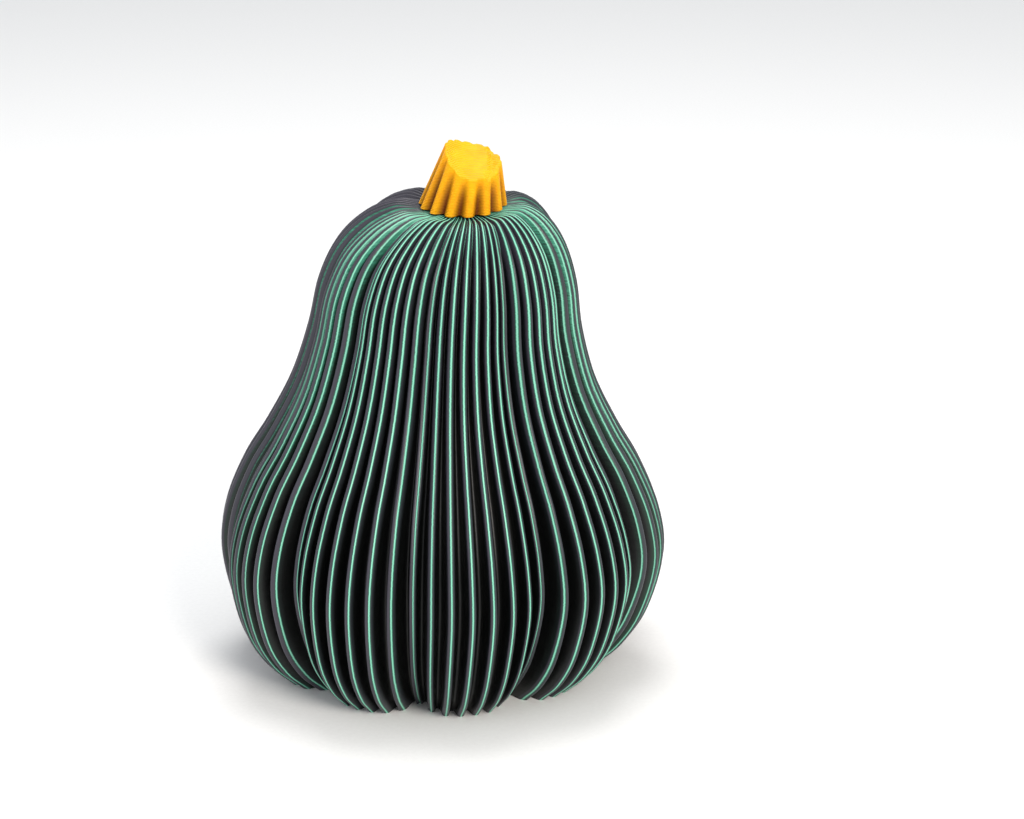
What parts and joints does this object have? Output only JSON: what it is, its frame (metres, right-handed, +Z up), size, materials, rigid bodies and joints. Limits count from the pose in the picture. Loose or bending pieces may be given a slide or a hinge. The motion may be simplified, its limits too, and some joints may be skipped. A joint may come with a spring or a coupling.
{
  "type": "3d-printed plastic ribbed pumpkin decoration",
  "caption": "Pear-shaped decorative pumpkin with rounded lobes, deep upright ribs all round, a flat foot and a fluted stem with a slanted end.",
  "frame": {"origin": "centre of the flat foot, on the table plane", "axes": "+Z up through the body towards the stem, -Y towards the viewer, +X to the viewer's right"},
  "size_m": [0.1092, 0.1084, 0.1301],
  "materials": {
    "body": "silky two-tone strand, green where it catches the light and near-black in the grooves",
    "stem": "satin with fine layer lines"
  },
  "bodies": {
    "root": {"ribbed_body": "body", "stem": "stem"}
  },
  "joints": []
}
